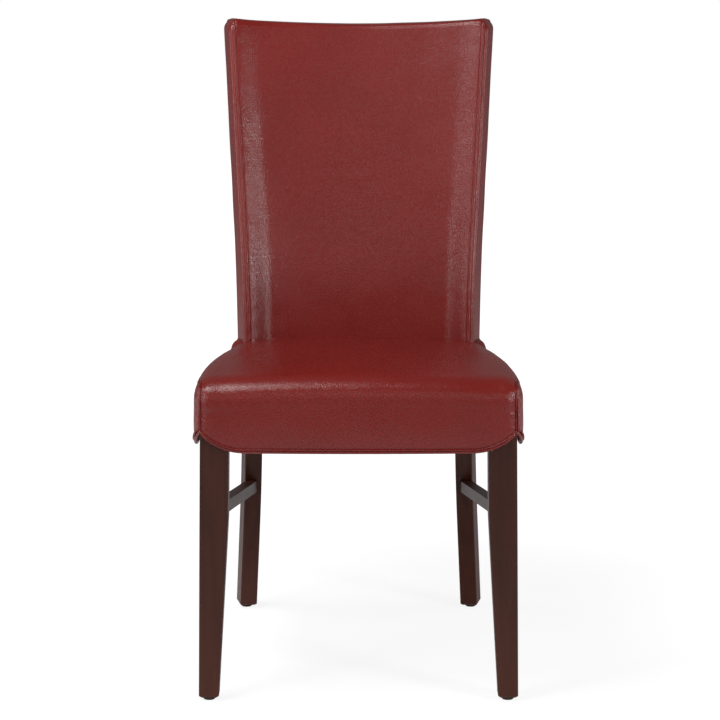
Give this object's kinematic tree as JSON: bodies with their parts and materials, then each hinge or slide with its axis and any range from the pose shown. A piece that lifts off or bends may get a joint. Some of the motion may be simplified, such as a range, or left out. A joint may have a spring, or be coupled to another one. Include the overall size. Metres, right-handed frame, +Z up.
{
  "type": "upholstered dining chair",
  "caption": "Side chair with a leather-covered bolstered back and crowned seat on stained wooden legs joined by side stretchers.",
  "frame": {"origin": "on the floor, under the middle of the chair's bounding box", "axes": "+Z up, -Y out of the front of the seat, +X to the right as seen from the front"},
  "size_m": [0.4806, 0.6065, 0.976],
  "materials": {
    "stained_wood": "dark espresso stain, satin lacquer",
    "frame_wood": "plain sawn beech, unfinished",
    "leather": "deep red-brown semi-aniline, soft sheen",
    "welt_leather": "deep red-brown, wrapped round a cord",
    "foam": "cut polyurethane foam",
    "wadding": "polyester wadding",
    "webbing": "woven elastic webbing",
    "dust_cloth": "black non-woven cloth",
    "fastener_steel": "plain steel",
    "glide_plastic": "dark moulded plastic"
  },
  "bodies": {
    "root": {"front_leg_left": "stained_wood", "front_leg_right": "stained_wood", "back_post_left": "stained_wood", "back_post_right": "stained_wood", "side_stretcher_left": "stained_wood", "side_stretcher_right": "stained_wood", "side_seat_rail_left": "frame_wood", "side_seat_rail_right": "frame_wood", "front_seat_rail": "frame_wood", "rear_seat_rail": "frame_wood", "front_corner_block_left": "frame_wood", "front_corner_block_right": "frame_wood", "rear_corner_block_left": "frame_wood", "rear_corner_block_right": "frame_wood", "lower_back_rail": "frame_wood", "middle_back_rail": "frame_wood", "top_back_rail": "frame_wood", "seat_rail_dowels": "frame_wood", "back_rail_dowels": "frame_wood", "corner_block_screws": "fastener_steel", "glide_nails": "fastener_steel", "front_glide_left": "glide_plastic", "front_glide_right": "glide_plastic", "rear_glide_left": "glide_plastic", "rear_glide_right": "glide_plastic", "seat_web_lengthwise_left": "webbing", "seat_web_lengthwise_middle": "webbing", "seat_web_lengthwise_right": "webbing", "seat_web_crosswise_front": "webbing", "seat_web_crosswise_fore": "webbing", "seat_web_crosswise_aft": "webbing", "seat_web_crosswise_rear": "webbing", "back_web_lowest": "webbing", "back_web_lower": "webbing", "back_web_upper": "webbing", "back_web_highest": "webbing", "seat_foam": "foam", "rail_padding": "wadding", "front_rail_padding": "wadding", "seat_cover": "leather", "seat_side_boxing_left": "leather", "seat_side_boxing_right": "leather", "seat_welt": "welt_leather", "dust_cover": "dust_cloth", "back_foam": "foam", "back_wadding": "wadding", "back_cover_front": "leather", "back_side_boxing_left": "leather", "back_side_boxing_right": "leather", "back_cover_rear": "leather"}
  },
  "joints": []
}
